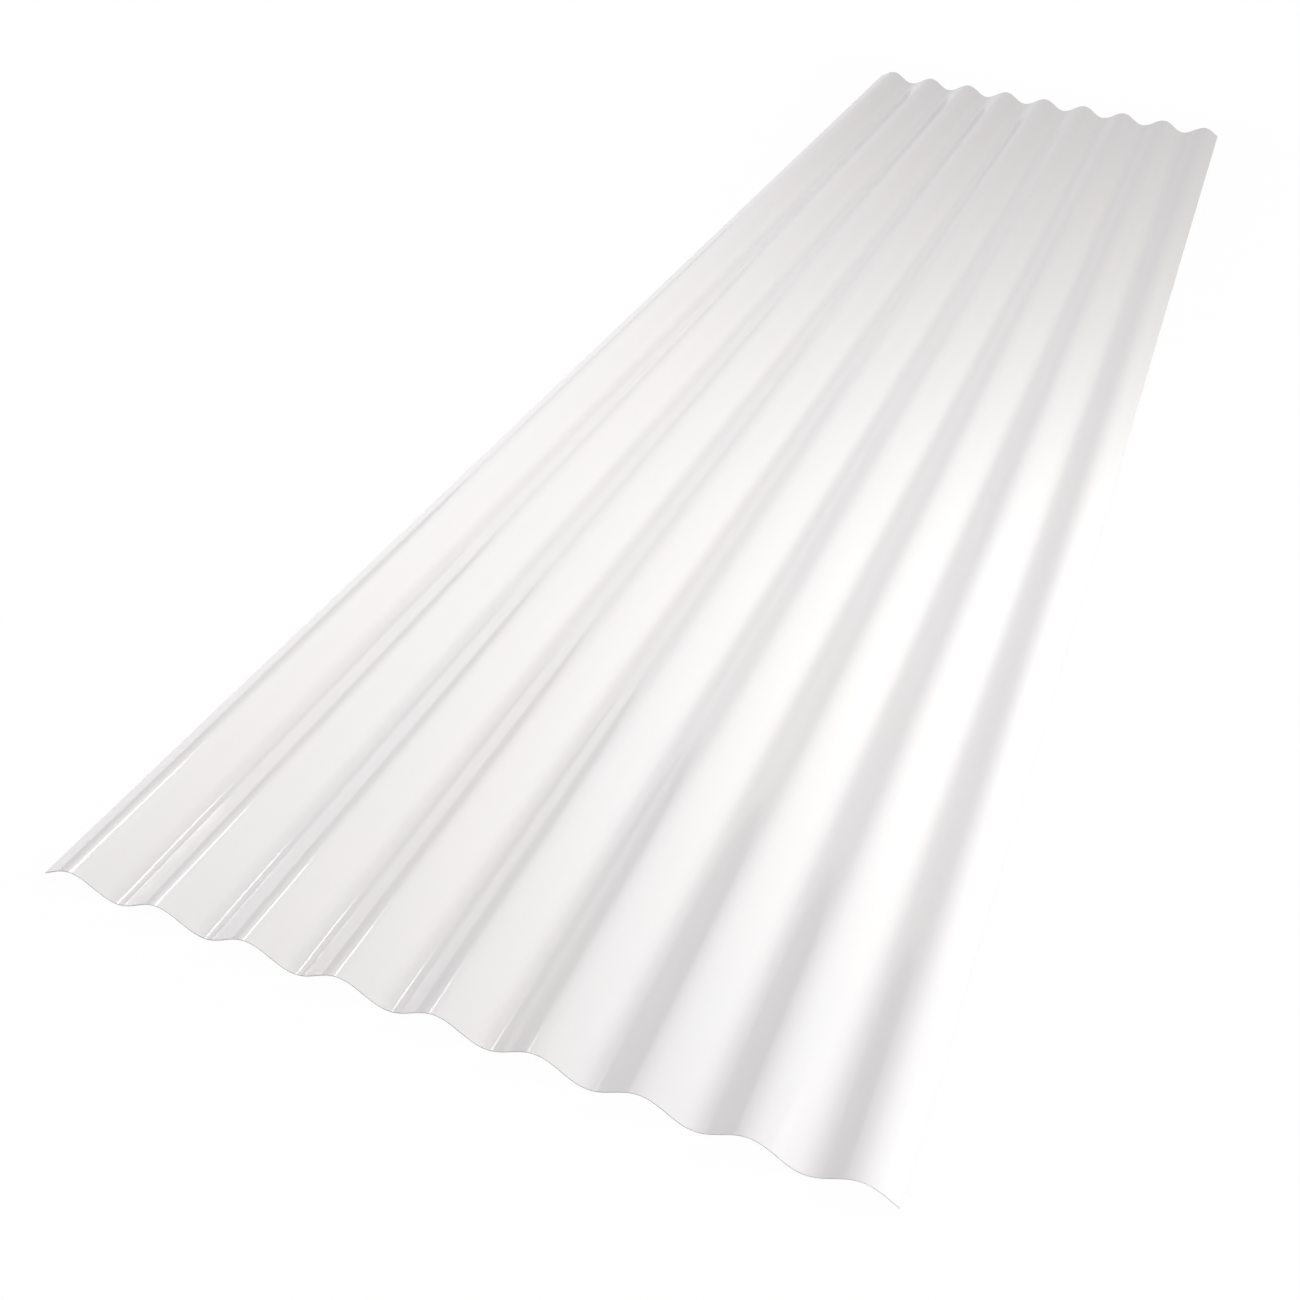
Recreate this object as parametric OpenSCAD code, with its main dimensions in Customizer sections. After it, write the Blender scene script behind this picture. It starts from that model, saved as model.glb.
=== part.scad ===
// Corrugated roofing panel: one extruded sheet with an even wall, formed in a plain sine wave.
// X runs across the waves, Y runs along them and Z is up. The panel lies on its valleys, with
// the origin on the floor, midway between its two cut ends and its two side edges.

/* [Sheet] */
// Length of the panel, along its waves
sheet_length = 2438.4; // [300:0.1:6000]
// Thickness of the sheet, measured square to its surface
sheet_thickness = 0.8; // [0.5:0.1:3]

/* [Waves] */
// Distance from one crest to the next
wave_pitch = 76.2; // [50:0.1:180]
// Overall depth, from the underside of a valley to the top of a crest
wave_depth = 16; // [6:0.1:40]
// Number of crests across the panel
crest_count = 9; // [2:1:16]
// Width shared with a neighbouring panel when their outer crests nest
side_lap = 50.8; // [10:0.1:100]

/* [Smoothness] */
// Number of narrow flats that make up one wave, always even
flats_per_wave = 48; // [12:2:72]

/* [Hidden] */

// Distance between the two outer crests: the width of roof that each panel adds
cover_width = (crest_count - 1) * wave_pitch;
outer_crest = cover_width / 2;

// Each side edge runs half a lap past its outer crest, so it stops partway down the slope
edge_run = side_lap / 2;

// Half the travel of the sheet's mid-line between crest and valley
swing = (wave_depth - sheet_thickness) / 2;

// The outline breaks at every crest and valley, and evenly in between and out to each edge
cover_flats = flats_per_wave * (crest_count - 1);
edge_flats = ceil(flats_per_wave * edge_run / wave_pitch);
stations = concat(
    [for (i = [edge_flats:-1:1]) -outer_crest - edge_run * i / edge_flats],
    [for (i = [0:cover_flats]) -outer_crest + cover_width * i / cover_flats],
    [for (i = [1:edge_flats]) outer_crest + edge_run * i / edge_flats]
);

// Angle through the wave at x, with a crest at every full turn
function wave_angle(x) = 360 * (x + outer_crest) / wave_pitch;

// Height and slope of the mid-line at x
function mid_height(x) = wave_depth / 2 + swing * cos(wave_angle(x));
function mid_slope(x) = -swing * 2 * PI / wave_pitch * sin(wave_angle(x));

// Half the wall, measured plumb: it grows with the slope, which keeps the wall one thickness
function plumb_half_wall(x) = sheet_thickness / 2 * sqrt(1 + pow(mid_slope(x), 2));

// Cross-section of the whole panel: the top face from left to right, then the underside back.
// Both side edges come out plumb, as a trimming knife leaves them.
module wave_section() {
    last = len(stations) - 1;
    top = [for (x = stations) [x, mid_height(x) + plumb_half_wall(x)]];
    underside = [for (i = [last:-1:0]) let (x = stations[i]) [x, mid_height(x) - plumb_half_wall(x)]];
    polygon(concat(top, underside));
}

// The section stood upright and drawn out along Y, cut square at both ends
module corrugated_sheet() {
    color("whitesmoke")
        rotate([90, 0, 0])
            linear_extrude(height = sheet_length, center = true)
                wave_section();
}

corrugated_sheet();
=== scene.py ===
# %% [markdown]
# # A corrugated roofing sheet
#
# This lesson models one length of corrugated roofing, the kind that covers a shed or a carport. It is a
# single sheet of white PVC. The maker extrudes it flat, runs it while still warm between shaped
# rollers that press it into waves, and saws it to length. The waves make a thin sheet stiff.
#
# There is one piece to make, so the work goes into three things: a true wave with an even wall, a
# glossy plastic that is not quite perfect, and light that shows the waves.

# %% [markdown]
# ## The measured sheet
#
# An engineering model of the sheet already exists, and it sets every size. We load it first. It is
# accurate, but its waves are made of flat facets and it has no finish, so it serves as a gauge here:
# our own sheet has to fill the same box to a fraction of a millimetre.

# %% Load the measured sheet
import math

import bmesh
import bpy
from mathutils import Matrix, Vector, noise


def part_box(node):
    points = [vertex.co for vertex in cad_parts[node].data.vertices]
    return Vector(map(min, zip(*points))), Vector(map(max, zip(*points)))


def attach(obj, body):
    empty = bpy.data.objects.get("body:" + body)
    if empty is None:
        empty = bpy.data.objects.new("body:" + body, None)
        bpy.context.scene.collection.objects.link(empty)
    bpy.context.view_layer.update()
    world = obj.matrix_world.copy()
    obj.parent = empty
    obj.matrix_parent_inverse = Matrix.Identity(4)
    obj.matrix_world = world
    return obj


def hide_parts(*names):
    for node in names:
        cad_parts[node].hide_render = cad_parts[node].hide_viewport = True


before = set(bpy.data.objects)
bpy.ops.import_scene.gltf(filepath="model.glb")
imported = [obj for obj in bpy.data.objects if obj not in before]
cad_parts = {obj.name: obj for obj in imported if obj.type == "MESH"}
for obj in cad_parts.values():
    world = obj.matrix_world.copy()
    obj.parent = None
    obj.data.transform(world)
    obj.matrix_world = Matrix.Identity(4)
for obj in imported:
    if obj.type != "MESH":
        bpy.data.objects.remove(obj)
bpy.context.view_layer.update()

MM = 0.001
low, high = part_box("corrugated_sheet")
width = high.x - low.x
length = high.y - low.y
depth = high.z - low.z
print(f"The sheet is {width / MM:.1f} mm wide, {length / MM:.1f} mm long and {depth / MM:.1f} mm deep")

# %% [markdown]
# ## The camera
#
# The sheet is almost four times as long as it is wide. A camera half a metre in front of the near
# end, held at table height and looking down along the waves, shows the sawn end close up and lets the
# rest of the sheet run away into the distance. A camera is aimed by turning it three times: round to a
# heading, down by its dip, and a small roll about its own line of sight.

# %% Place and aim the camera
CAMERA_PLACE = Vector((0.3244, -1.7665, 0.8217))
CAMERA_HEADING = math.radians(19.281)
CAMERA_DIP = math.radians(37.403)
CAMERA_ROLL = math.radians(4.825)
CAMERA_LENS = 39.884
CAMERA_SENSOR = 36

camera_data = bpy.data.cameras.new("camera")
camera_data.lens = CAMERA_LENS
camera_data.sensor_width = CAMERA_SENSOR
camera = bpy.data.objects.new("camera", camera_data)
bpy.context.scene.collection.objects.link(camera)
heading = Matrix.Rotation(CAMERA_HEADING, 4, "Z")
dip = Matrix.Rotation(math.pi / 2 - CAMERA_DIP, 4, "X")
roll = Matrix.Rotation(CAMERA_ROLL, 4, "Z")
camera.matrix_world = Matrix.Translation(CAMERA_PLACE) @ heading @ dip @ roll
bpy.context.scene.camera = camera
print(f"The camera stands {CAMERA_PLACE.z:.2f} m above the floor")

# %% [markdown]
# ## The wave
#
# The rollers give the sheet a plain sine wave. The middle of the wall follows the sine, and the two
# faces lie half a wall away from it, measured square to the sheet. Where the wave is steep, that is a
# longer way when measured straight up, so the height is stretched by the slope. This keeps the
# plastic the same thickness at the crest and on the slope, as rollers do.

# %% Say how high the wave is at any place across the sheet
WAVE_PITCH = 76.2 * MM
WALL = 0.8 * MM
swing = (depth - WALL) / 2


def middle_height(x, share=1.0):
    """Height of the middle of the wall; share is how much of the full swing the wave has here."""
    return low.z + depth / 2 + share * swing * math.cos(2 * math.pi * x / WAVE_PITCH)


def half_wall_upright(x):
    """Half of the wall, measured straight up."""
    slope = swing * 2 * math.pi / WAVE_PITCH * math.sin(2 * math.pi * x / WAVE_PITCH)
    return WALL / 2 * math.hypot(1, slope)


print(f"The wave swings {swing / MM:.2f} mm each way about its middle")

# %% [markdown]
# ## A flat slab
#
# We make the sheet in the order that the factory does. First comes a flat slab: a grid of small
# squares, pulled down by its own thickness to close it into a solid. The wave needs many columns of
# squares, because a wave drawn with too few looks like folded card. Along the sheet a few dozen rows
# are enough. The grid keeps a map of the flat slab, which a finish could follow later.

# %% Make the flat slab
COLUMNS_PER_WAVE = 72
ROWS = 40


def flat_slab():
    """A closed slab of the sheet's width, length and wall, with its upper face at height 0."""
    slab = bmesh.new()
    slab.loops.layers.uv.new("UVMap")
    columns = round(width / WAVE_PITCH * COLUMNS_PER_WAVE)
    bmesh.ops.create_grid(slab, x_segments=columns, y_segments=ROWS, size=0.5, calc_uvs=True)
    bmesh.ops.scale(slab, vec=(width, length, 1), verts=slab.verts)
    lower = bmesh.ops.extrude_face_region(slab, geom=slab.faces[:])
    lower_corners = [part for part in lower["geom"] if isinstance(part, bmesh.types.BMVert)]
    bmesh.ops.translate(slab, vec=(0, 0, -WALL), verts=lower_corners)
    bmesh.ops.recalc_face_normals(slab, faces=slab.faces[:])
    return slab


sheet_mesh = flat_slab()
print(f"The slab has {len(sheet_mesh.faces)} faces")

# %% [markdown]
# ## Rolling the waves
#
# Rolling lifts each corner of the grid to the height of the wave above it. The upper face gets the
# wave plus half a wall and the lower face the wave less half a wall. Real rollers press some waves a
# hair shallower than others, and the sheet relaxes a little as it cools. So the swing is eased by up
# to six hundredths of a millimetre in slow patches. Nobody can see that by its height, but a glossy
# sheet shows it, because the long reflections stop being ruler-straight.

# %% Roll the slab
EASE = 0.06 * MM
EASE_ACROSS = 0.21
EASE_ALONG = 0.55
EASE_LAYER = 3.7
EASE_GAIN = 2


def swing_share(x, y):
    """1 where the wave is full, and less where it has relaxed; weak noise is raised by the gain."""
    drift = noise.noise(Vector((x / EASE_ACROSS, y / EASE_ALONG, EASE_LAYER)))
    return 1 - EASE / swing * min(1, abs(drift) * EASE_GAIN)


def roll_waves(slab):
    """Lift every corner of the slab to its place on the wave."""
    for corner in slab.verts:
        side = 1 if corner.co.z > -WALL / 2 else -1
        x, y = corner.co.x, corner.co.y
        corner.co.z = middle_height(x, swing_share(x, y)) + side * half_wall_upright(x)


roll_waves(sheet_mesh)
top = max(corner.co.z for corner in sheet_mesh.verts)
bottom = min(corner.co.z for corner in sheet_mesh.verts)
print(f"The rolled sheet runs from {bottom / MM:.2f} mm to {top / MM:.2f} mm above the floor")

# %% [markdown]
# ## Sawn ends and slit edges
#
# A saw leaves the ends square, with the sharpness just taken off. A bevel seven hundredths of a
# millimetre wide gives each rim a thin line that catches light, where a perfect corner would look
# like cut paper. The rim faces also get a second material. Sawn plastic is duller than rolled
# plastic, and the rims are also painted greyer as painted shade. They are found by the way they
# face: sideways or endways instead of up or down.

# %% Ease the rims and mark the cut faces
RIM_BEVEL = 0.07 * MM
RIM_SEGMENTS = 2
CORNER_ANGLE = math.radians(50)
CUT_FACE_BELOW = 0.8


def is_corner(edge):
    """Whether two faces meet at this edge and turn sharply there."""
    return len(edge.link_faces) == 2 and edge.calc_face_angle() > CORNER_ANGLE


def ease_rims(slab):
    """Bevel every corner edge and say how many faces that made."""
    corners = [edge for edge in slab.edges if is_corner(edge)]
    eased = bmesh.ops.bevel(
        slab,
        geom=corners,
        offset=RIM_BEVEL,
        offset_type="OFFSET",
        affect="EDGES",
        segments=RIM_SEGMENTS,
        profile=0.5,
        material=-1,
        clamp_overlap=True,
    )
    return len(eased["faces"])


def mark_cut_faces(slab):
    """Give the second material to the faces that face sideways or endways."""
    marked = 0
    for face in slab.faces:
        if abs(face.normal.z) < CUT_FACE_BELOW:
            face.material_index = 1
            marked += 1
    return marked


print(f"{ease_rims(sheet_mesh)} bevel faces")
sheet_mesh.normal_update()
print(f"{mark_cut_faces(sheet_mesh)} cut faces")

# %% [markdown]
# ## From mesh to object
#
# The waves are shaded smooth, which blends the light across the many small faces. The rims must stay
# crisp. If the blending ran across them, the direction of the narrow rim faces would spread over the
# whole last row of the sheet and bend every reflection near the cut. So each edge that turns by more
# than twelve degrees is marked sharp. The waves turn less than that from one column to the next.

# %% Turn the mesh into an object
SMOOTH_UP_TO = math.radians(12)


def crisp_rims(slab):
    """Shade the faces smooth, keep the rims sharp, and count the sharp edges."""
    sharp = 0
    for face in slab.faces:
        face.smooth = True
    for edge in slab.edges:
        edge.smooth = edge.calc_face_angle(0) < SMOOTH_UP_TO
        sharp += not edge.smooth
    return sharp


def finished_object(name, mesh):
    """Put a bmesh into the scene as an object of this name."""
    data = bpy.data.meshes.new(name)
    mesh.to_mesh(data)
    mesh.free()
    piece = bpy.data.objects.new(name, data)
    bpy.context.scene.collection.objects.link(piece)
    return piece


print(f"{crisp_rims(sheet_mesh)} edges stay crisp")
sheet = finished_object("roofing_sheet", sheet_mesh)
sheet.data.calc_loop_triangles()
print(f"{sheet.name} has {len(sheet.data.loop_triangles)} triangles")

# %% [markdown]
# ## Helpers for materials
#
# A material is a small machine made of nodes. Five helpers keep the recipes short. One adds a node and
# sets its values, one joins an output to an input, and one works a sum. One makes a soft noise that
# can be stretched, and one spreads that noise over a range of values. Noise stretched along the sheet
# is what extrusion does to every flaw in the plastic.

# %% Helpers for materials
def add_node(tree, kind, **values):
    """A new node, with its inputs and settings given by name."""
    node = tree.nodes.new(kind)
    for name, value in values.items():
        if name in node.inputs:
            node.inputs[name].default_value = value
        else:
            setattr(node, name, value)
    return node


def join(tree, source, output, target, entry):
    """Link an output of one node to an input of another."""
    tree.links.new(source.outputs[output], target.inputs[entry])


def stretched_noise(tree, place, size, detail, offset=0):
    """Noise with blotches of this size in metres, across and along; offset keeps two noises apart."""
    across, along = size
    scale = add_node(tree, "ShaderNodeMapping", Scale=(1 / across, 1 / along, 1 / across),
                     Location=(offset, offset, offset))
    pattern = add_node(tree, "ShaderNodeTexNoise", Scale=1.0, Detail=detail)
    join(tree, place, "Object", scale, "Vector")
    join(tree, scale, "Vector", pattern, "Vector")
    return pattern


def into_range(tree, source, output, lowest, highest, start=0.3, stop=0.7):
    """Spread a noise, which mostly runs from 0.3 to 0.7, over a range of values."""
    spread = add_node(tree, "ShaderNodeMapRange")
    spread.inputs["From Min"].default_value = start
    spread.inputs["From Max"].default_value = stop
    spread.inputs["To Min"].default_value = lowest
    spread.inputs["To Max"].default_value = highest
    join(tree, source, output, spread, "Value")
    return spread


def worked_out(tree, operation, first, second):
    """The result of one sum, such as ADD, on two outputs."""
    total = add_node(tree, "ShaderNodeMath", operation=operation)
    tree.links.new(first, total.inputs[0])
    tree.links.new(second, total.inputs[1])
    return total.outputs["Value"]


print("Five helpers are ready")

# %% [markdown]
# ## Rolled PVC
#
# PVC for roofs is white all the way through and has a hard, clean gloss. Look closely and it is not
# perfect. The slot that it was extruded through leaves very fine lines that run the whole length, and
# some streaks are a touch duller than others. The cooling leaves slow swells that bend a reflection,
# and the skin has a faint peel. The colour drifts by a hair from warm to cool. All five things are
# driven by noise on the sheet's own coordinates, so they stay put on the plastic.

# %% Rolled PVC
PVC_IOR = 1.53
WARM_WHITE = (0.850, 0.842, 0.838, 1)
COOL_WHITE = (0.838, 0.836, 0.842, 1)
DRIFT_SIZE = (0.16, 0.45)
SHARPEST = 0.08
DULLEST = 0.13
STREAK_SIZE = (0.006, 0.5)
DIE_LINE_HEIGHT = 0.003 * MM
DIE_LINE_SIZE = (0.003, 1.2)
SWELL_HEIGHT = 0.04 * MM
SWELL_SIZE = (0.045, 0.22)
PEEL_HEIGHT = 0.002 * MM
PEEL_SIZE = (0.0012, 0.0016)


def rolled_pvc():
    """The glossy finish of both faces."""
    finish = bpy.data.materials.new("white_pvc_rolled")
    finish.use_nodes = True
    tree = finish.node_tree
    plastic = tree.nodes["Principled BSDF"]
    plastic.inputs["IOR"].default_value = PVC_IOR
    place = add_node(tree, "ShaderNodeTexCoord")

    drift = stretched_noise(tree, place, DRIFT_SIZE, detail=3)
    drift_amount = into_range(tree, drift, "Fac", 0, 1)
    colour = add_node(tree, "ShaderNodeMix", data_type="RGBA")
    colour.inputs["A"].default_value = WARM_WHITE
    colour.inputs["B"].default_value = COOL_WHITE
    join(tree, drift_amount, "Result", colour, "Factor")
    join(tree, colour, "Result", plastic, "Base Color")

    streaks = stretched_noise(tree, place, STREAK_SIZE, detail=4, offset=11)
    roughness = into_range(tree, streaks, "Fac", SHARPEST, DULLEST)
    join(tree, roughness, "Result", plastic, "Roughness")

    lines = stretched_noise(tree, place, DIE_LINE_SIZE, detail=3, offset=23)
    line_relief = into_range(tree, lines, "Fac", 0, DIE_LINE_HEIGHT)
    swell = stretched_noise(tree, place, SWELL_SIZE, detail=1, offset=37)
    swell_relief = into_range(tree, swell, "Fac", 0, SWELL_HEIGHT)
    peel = stretched_noise(tree, place, PEEL_SIZE, detail=1, offset=51)
    peel_relief = into_range(tree, peel, "Fac", 0, PEEL_HEIGHT)
    coarse = worked_out(tree, "ADD", line_relief.outputs["Result"], swell_relief.outputs["Result"])
    relief = worked_out(tree, "ADD", coarse, peel_relief.outputs["Result"])
    bump = add_node(tree, "ShaderNodeBump", Strength=1.0, Distance=1.0)
    tree.links.new(relief, bump.inputs["Height"])
    join(tree, bump, "Normal", plastic, "Normal")
    return finish


sheet.data.materials.append(rolled_pvc())
print(f"{sheet.data.materials[0].name} is on the faces of {sheet.name}")

# %% [markdown]
# ## Cut PVC
#
# Where the sheet was cut the gloss is gone. The teeth leave short scratches. The cut is also painted a
# shade greyer than the face. That grey is painted shade, so that the thin sawn rims read darker.

# %% Cut PVC
# Both cut greys are painted shade: they sit below the face's white so that the thin rims read dark.
CUT_SHADE_GREY = (0.60, 0.60, 0.60, 1)
CUT_SHADE_PALE = (0.72, 0.72, 0.71, 1)
CUT_SHARPEST = 0.55
CUT_DULLEST = 0.75
TOOTH_DEPTH = 0.02 * MM
TOOTH_SIZE = (0.0006, 0.0006)


def cut_pvc():
    """The dull finish of the four rims, painted greyer than the face as painted shade."""
    finish = bpy.data.materials.new("white_pvc_cut")
    finish.use_nodes = True
    tree = finish.node_tree
    plastic = tree.nodes["Principled BSDF"]
    plastic.inputs["IOR"].default_value = PVC_IOR
    place = add_node(tree, "ShaderNodeTexCoord")
    teeth = stretched_noise(tree, place, TOOTH_SIZE, detail=3, offset=5)
    shade = add_node(tree, "ShaderNodeMix", data_type="RGBA")
    shade.inputs["A"].default_value = CUT_SHADE_GREY
    shade.inputs["B"].default_value = CUT_SHADE_PALE
    join(tree, teeth, "Fac", shade, "Factor")
    join(tree, shade, "Result", plastic, "Base Color")
    roughness = into_range(tree, teeth, "Fac", CUT_SHARPEST, CUT_DULLEST)
    join(tree, roughness, "Result", plastic, "Roughness")
    scratch = into_range(tree, teeth, "Fac", 0, TOOTH_DEPTH)
    bump = add_node(tree, "ShaderNodeBump", Strength=1.0, Distance=1.0)
    join(tree, scratch, "Result", bump, "Height")
    join(tree, bump, "Normal", plastic, "Normal")
    return finish


sheet.data.materials.append(cut_pvc())
print(f"{sheet.data.materials[1].name} is on the rims of {sheet.name}")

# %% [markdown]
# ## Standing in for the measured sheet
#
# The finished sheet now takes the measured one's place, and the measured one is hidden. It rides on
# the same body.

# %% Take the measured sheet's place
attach(sheet, "root")
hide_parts("corrugated_sheet")
print(f"{sheet.name} stands for corrugated_sheet")

# %% [markdown]
# ## The floor
#
# The sheet lies on a plain white studio floor. A real white floor looks pure white only when it is
# lit far more than the product, and light on the floor would spill on to the sheet. Here the floor is
# told to look white to the camera and in reflections. Close to the sheet a small part of its look is
# left to ordinary white paint, which takes the sheet's shadow. That part fades out a quarter of a
# metre from the sheet.

# %% The floor
FLOOR_SIZE = 24.0
FLOOR_PAINT = (0.93, 0.93, 0.93, 1)
WHITE_BY_THE_SHEET = 0.98
WHITE_FURTHER_OFF = 1.0
SHADOW_REACH = 0.25


def light_path_share(tree):
    """1 for what the camera sees straight on, in a reflection or through glass; 0 for plain lighting."""
    path = add_node(tree, "ShaderNodeLightPath")
    seen = worked_out(tree, "MAXIMUM", path.outputs["Is Camera Ray"], path.outputs["Is Glossy Ray"])
    return worked_out(tree, "MAXIMUM", seen, path.outputs["Is Transmission Ray"])


def distance_from_sheet(tree):
    """How far a place on the floor is from the edge of the sheet, in metres."""
    place = add_node(tree, "ShaderNodeTexCoord")
    same_each_way = add_node(tree, "ShaderNodeVectorMath", operation="ABSOLUTE")
    beyond_edge = add_node(tree, "ShaderNodeVectorMath", operation="SUBTRACT")
    outside_only = add_node(tree, "ShaderNodeVectorMath", operation="MAXIMUM")
    distance = add_node(tree, "ShaderNodeVectorMath", operation="LENGTH")
    join(tree, place, "Object", same_each_way, 0)
    join(tree, same_each_way, "Vector", beyond_edge, 0)
    beyond_edge.inputs[1].default_value = (width / 2, length / 2, 1)
    join(tree, beyond_edge, "Vector", outside_only, 0)
    outside_only.inputs[1].default_value = (0, 0, 0)
    join(tree, outside_only, "Vector", distance, 0)
    return distance


def floor_paint():
    """White wherever it is seen, and paint that takes a faint shadow close to the sheet."""
    finish = bpy.data.materials.new("studio_floor")
    finish.use_nodes = True
    tree = finish.node_tree
    tree.nodes.clear()
    output = add_node(tree, "ShaderNodeOutputMaterial")
    paint = add_node(tree, "ShaderNodeBsdfDiffuse", Color=FLOOR_PAINT)
    white = add_node(tree, "ShaderNodeEmission", Strength=1.0)
    blend = add_node(tree, "ShaderNodeMixShader")
    whiteness = into_range(tree, distance_from_sheet(tree), "Value", WHITE_BY_THE_SHEET,
                           WHITE_FURTHER_OFF, start=0, stop=SHADOW_REACH)
    share = worked_out(tree, "MULTIPLY", light_path_share(tree), whiteness.outputs["Result"])
    tree.links.new(share, blend.inputs[0])
    tree.links.new(paint.outputs["BSDF"], blend.inputs[1])
    tree.links.new(white.outputs["Emission"], blend.inputs[2])
    join(tree, blend, "Shader", output, "Surface")
    return finish


floor_mesh = bmesh.new()
bmesh.ops.create_grid(floor_mesh, x_segments=1, y_segments=1, size=FLOOR_SIZE / 2)
floor = finished_object("studio_floor", floor_mesh)
floor.data.materials.append(floor_paint())
print(f"The floor is {FLOOR_SIZE:.0f} m square")

# %% [markdown]
# ## Light for the colour
#
# Gloss acts like a dim mirror, and under it lies the white body of the plastic. Each needs its own
# light. The body gets four soft lamps that reflections cannot see. Three small ones stand on the right:
# one low beside the near half, one lower still at the near corner, and a strong one higher up and
# farther off. Light that grazes in from the right brightens the slopes that face it and leaves the
# others in shade, and that shade is what makes a white wave readable. Small lamps keep its edge crisp.
# One long lamp hangs high up beside the left edge and keeps the shade light. Their colours differ by
# a few hundredths, as lamps of different makes do, and the far one on the right is a little warmer.
#
# Blender asks for a lamp's power in watts. It is easier to think of how bright its face looks, so the
# helper takes that as a glow, where 1 is white. A flat lamp's face looks white at pi watts for each
# square metre.

# %% Light for the colour
RIGHT_LAMPS_AIM = (0.1, -0.4, 0)


def soft_light(name, place, aim, size, glow, tint=(1, 1, 1)):
    """A flat lamp hidden from reflections; glow is how many times brighter than white its face is."""
    data = bpy.data.lights.new(name, "AREA")
    data.shape = "RECTANGLE"
    data.size, data.size_y = size
    data.energy = glow * math.pi * data.size * data.size_y
    data.color = tint
    lamp = bpy.data.objects.new(name, data)
    bpy.context.scene.collection.objects.link(lamp)
    turn = (Vector(aim) - Vector(place)).to_track_quat("-Z", "Y")
    lamp.matrix_world = Matrix.Translation(place) @ turn.to_matrix().to_4x4()
    lamp.visible_camera = False
    lamp.visible_glossy = False
    return lamp


soft_light("right_near", place=(1.06, -0.63, 0.47), aim=RIGHT_LAMPS_AIM,
           size=(0.40, 0.18), glow=25.2, tint=(0.955, 1.0, 0.993))
soft_light("right_far", place=(2.28, 0.51, 1.17), aim=RIGHT_LAMPS_AIM,
           size=(0.50, 0.18), glow=54.0, tint=(1.0, 0.985, 0.88))
soft_light("right_front", place=(0.71, -1.41, 0.25), aim=RIGHT_LAMPS_AIM,
           size=(0.38, 0.17), glow=5.9, tint=(1.0, 0.98, 0.98))
soft_light("overhead", place=(-0.65, -0.10, 1.50), aim=(-0.74, 0.16, 0),
           size=(0.48, 2.82), glow=3.0, tint=(1.0, 0.975, 0.94))
print("Four lamps light the colour")

# %% [markdown]
# ## Light for the gloss
#
# A reflection shows what stands in its way, so these two lamps are placed for what the gloss will
# show. The camera looks from the right, and the left flank of each wave mirrors the left side of the
# room. A narrow strip there comes out as a fine bright line beside the crest and another one in the
# valley. The softbox above it is wider and dimmer. It gives the slopes near the camera a soft sheen.
# Both also throw a little plain light on to the left slopes, which keeps the shade from going dull.

# %% Light for the gloss
strip = soft_light("left_strip", place=(-1.36, -0.57, 1.17), aim=(-0.2, -1.1, 0),
                   size=(1.0, 0.16), glow=7.0)
strip.visible_glossy = True
softbox = soft_light("left_softbox", place=(-1.6, -0.56, 1.7), aim=(-0.1, -1.16, 0),
                     size=(0.95, 0.8), glow=4.8)
softbox.visible_glossy = True
print(f"{strip.name} and {softbox.name} show in the gloss")

# %% [markdown]
# ## Dark cards
#
# White plastic in a white room has no edges. Studios cure that with black card, stood just out of
# view, and the gloss draws it as dark lines that follow the shape. Here three upright cards stand in
# a row along the left. The one nearest the camera is black. The next is taller and dark grey, and the
# last is low and pale, so the lines grow faint towards the far end. Only reflections can see them.
# Each gives off a fixed grey, so no lamp can change how dark it looks.

# %% Dark cards
CARD_DISTANCE = 1.7


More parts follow.
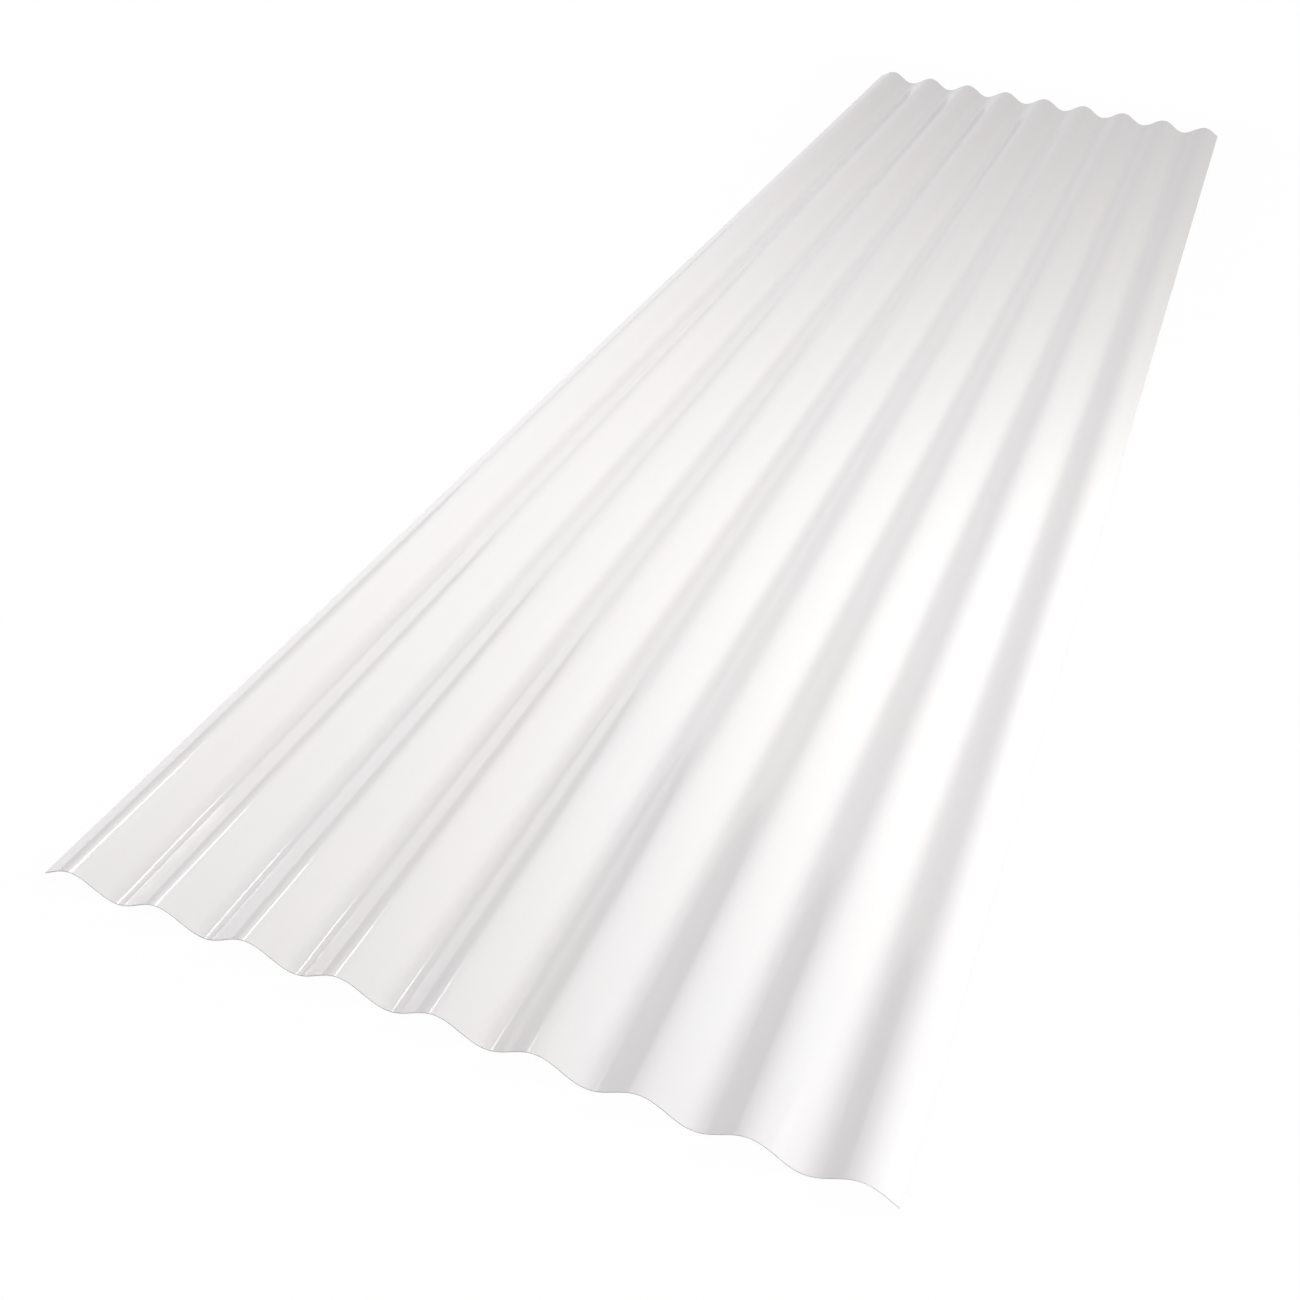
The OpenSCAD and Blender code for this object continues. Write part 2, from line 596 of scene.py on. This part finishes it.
def side_card(name, near, far, bottom, top, grey):
    """An upright card to the left of the sheet, facing it, that only reflections can see."""
    card_mesh = bmesh.new()
    bmesh.ops.create_grid(card_mesh, x_segments=1, y_segments=1, size=0.5)
    bmesh.ops.scale(card_mesh, vec=(top - bottom, far - near, 1), verts=card_mesh.verts)
    bmesh.ops.rotate(card_mesh, matrix=Matrix.Rotation(math.pi / 2, 3, "Y"), verts=card_mesh.verts)
    middle = (-CARD_DISTANCE, (near + far) / 2, (bottom + top) / 2)
    bmesh.ops.translate(card_mesh, vec=middle, verts=card_mesh.verts)
    card = finished_object(name, card_mesh)
    paint = bpy.data.materials.new(name)
    paint.use_nodes = True
    tree = paint.node_tree
    tree.nodes.clear()
    output = add_node(tree, "ShaderNodeOutputMaterial")
    fixed_grey = add_node(tree, "ShaderNodeEmission", Color=(grey, grey, grey, 1), Strength=1.0)
    join(tree, fixed_grey, "Emission", output, "Surface")
    card.data.materials.append(paint)
    card.visible_camera = False
    card.visible_diffuse = False
    card.visible_shadow = False
    print(f"{name} reaches {top:.2f} m up and is {far - near:.1f} m long")


side_card("black_card", near=-1.4, far=0.0, bottom=0.02, top=0.8, grey=0.0)
side_card("dark_card", near=0.0, far=1.0, bottom=0.02, top=1.3, grey=0.2)
side_card("pale_card", near=1.0, far=3.0, bottom=0.02, top=0.3, grey=0.6)

# %% [markdown]
# ## The room
#
# The room gives an even, dim light from every side, so that no part of the sheet goes black. It is a
# touch pink, so that the shade comes out faintly violet instead of a dead grey. Where the room itself
# is seen it is white, like the floor.

# %% The room
ROOM_LIGHT = 0.28
ROOM_TINT = (1.0, 0.94, 1.0, 1)
PURE_WHITE = (1, 1, 1, 1)


def room():
    """Dim, faintly pink light on the sheet, and pure white wherever the room is seen."""
    world = bpy.data.worlds.new("studio_room")
    world.use_nodes = True
    tree = world.node_tree
    tree.nodes.clear()
    output = add_node(tree, "ShaderNodeOutputWorld")
    dim = add_node(tree, "ShaderNodeBackground", Color=ROOM_TINT, Strength=ROOM_LIGHT)
    white = add_node(tree, "ShaderNodeBackground", Color=PURE_WHITE, Strength=1.0)
    blend = add_node(tree, "ShaderNodeMixShader")
    tree.links.new(light_path_share(tree), blend.inputs[0])
    tree.links.new(dim.outputs["Background"], blend.inputs[1])
    tree.links.new(white.outputs["Background"], blend.inputs[2])
    join(tree, blend, "Shader", output, "Surface")
    return world


bpy.context.scene.world = room()
bpy.context.scene.view_settings.view_transform = "Standard"
print(f"The room gives {ROOM_LIGHT} of full white from every side")
